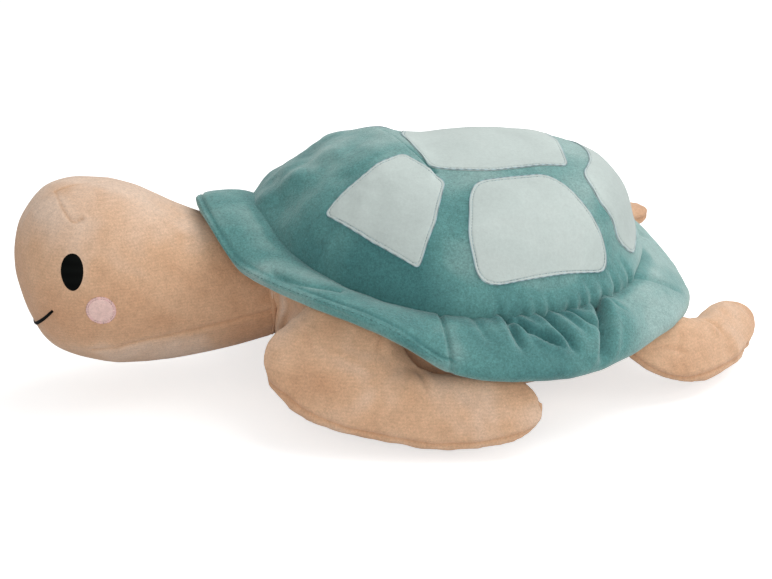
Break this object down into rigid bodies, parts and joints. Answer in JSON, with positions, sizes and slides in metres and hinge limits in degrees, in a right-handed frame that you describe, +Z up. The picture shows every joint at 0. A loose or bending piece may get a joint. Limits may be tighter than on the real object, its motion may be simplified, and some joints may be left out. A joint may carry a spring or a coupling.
{
  "type": "stuffed animal",
  "caption": "Stuffed sea turtle plush lying on its belly, with a patched padded shell, a padded rim, a long neck and paddle flippers.",
  "frame": {"origin": "middle of the toy's outline seen from above, on the surface that it lies on", "axes": "+X towards the tail, +Y to the toy's right side, +Z up"},
  "size_m": [0.6158, 0.4026, 0.1997],
  "materials": {
    "sand_plush": "short-pile velour, soft sheen",
    "teal_plush": "short-pile velour, soft sheen",
    "pale_plush": "short-pile velour, edge stitched",
    "pink_applique": "smooth knit applique with a stitched edge",
    "black_thread": "satin-stitch embroidery",
    "fibrefill": "loose polyester fibre"
  },
  "bodies": {
    "shell_body": {"dome_skin": "teal_plush", "belly_skin": "sand_plush", "body_stuffing": "fibrefill", "patch_top": "pale_plush", "patch_rear": "pale_plush", "patch_front_left": "pale_plush", "patch_front_right": "pale_plush", "patch_side_left": "pale_plush", "patch_side_right": "pale_plush", "rim_front_top": "teal_plush", "rim_rear_top": "teal_plush", "rim_front_under": "teal_plush", "rim_rear_under": "teal_plush", "rim_front_wadding": "fibrefill", "rim_rear_wadding": "fibrefill"},
    "neck": {"neck_stuffing": "fibrefill"},
    "head": {"head_skin_left": "sand_plush", "head_skin_right": "sand_plush", "head_gusset": "sand_plush", "head_stuffing": "fibrefill", "eye_left": "black_thread", "eye_right": "black_thread", "cheek_left": "pink_applique", "cheek_right": "pink_applique", "mouth_smile": "black_thread"},
    "front_left_flipper": {"front_left_flipper_top": "sand_plush", "front_left_flipper_bottom": "sand_plush", "front_left_flipper_stuffing": "fibrefill"},
    "front_right_flipper": {"front_right_flipper_top": "sand_plush", "front_right_flipper_bottom": "sand_plush", "front_right_flipper_stuffing": "fibrefill"},
    "rear_left_flipper": {"rear_left_flipper_top": "sand_plush", "rear_left_flipper_bottom": "sand_plush", "rear_left_flipper_stuffing": "fibrefill"},
    "rear_right_flipper": {"rear_right_flipper_top": "sand_plush", "rear_right_flipper_bottom": "sand_plush", "rear_right_flipper_stuffing": "fibrefill"}
  },
  "joints": [
    {"name": "neck_turn", "type": "hinge", "parent": "shell_body", "child": "neck", "pos_m": [-0.0879, -0.00643, 0.082], "axis": [0, 0, 1], "range_deg": [-12, 12], "stiffness_Nm_per_rad": 4},
    {"name": "head_nod", "type": "hinge", "parent": "neck", "child": "head", "pos_m": [-0.0879, -0.00643, 0.082], "axis": [0, 1, 0], "range_deg": [-12, 3], "stiffness_Nm_per_rad": 8, "springref_deg": 1.15},
    {"name": "front_left_swing", "type": "hinge", "parent": "shell_body", "child": "front_left_flipper", "pos_m": [-0.0679, -0.11643, 0.09], "axis": [-0.9418, 0.306, 0.1392], "range_deg": [-8, 6], "stiffness_Nm_per_rad": 1.5, "springref_deg": 0.57},
    {"name": "front_right_swing", "type": "hinge", "parent": "shell_body", "child": "front_right_flipper", "pos_m": [-0.0679, 0.10357, 0.09], "axis": [0.9418, 0.306, -0.1392], "range_deg": [-8, 6], "stiffness_Nm_per_rad": 1.5, "springref_deg": 0.57},
    {"name": "rear_left_swing", "type": "hinge", "parent": "shell_body", "child": "rear_left_flipper", "pos_m": [0.17209, -0.09843, 0.06], "axis": [-0.766, -0.6428, 0], "range_deg": [-10, 8], "stiffness_Nm_per_rad": 1, "springref_deg": 0.57},
    {"name": "rear_right_swing", "type": "hinge", "parent": "shell_body", "child": "rear_right_flipper", "pos_m": [0.17209, 0.08557, 0.06], "axis": [0.8829, 0.4695, 0], "range_deg": [-40, 4], "stiffness_Nm_per_rad": 1, "springref_deg": 0.57}
  ]
}
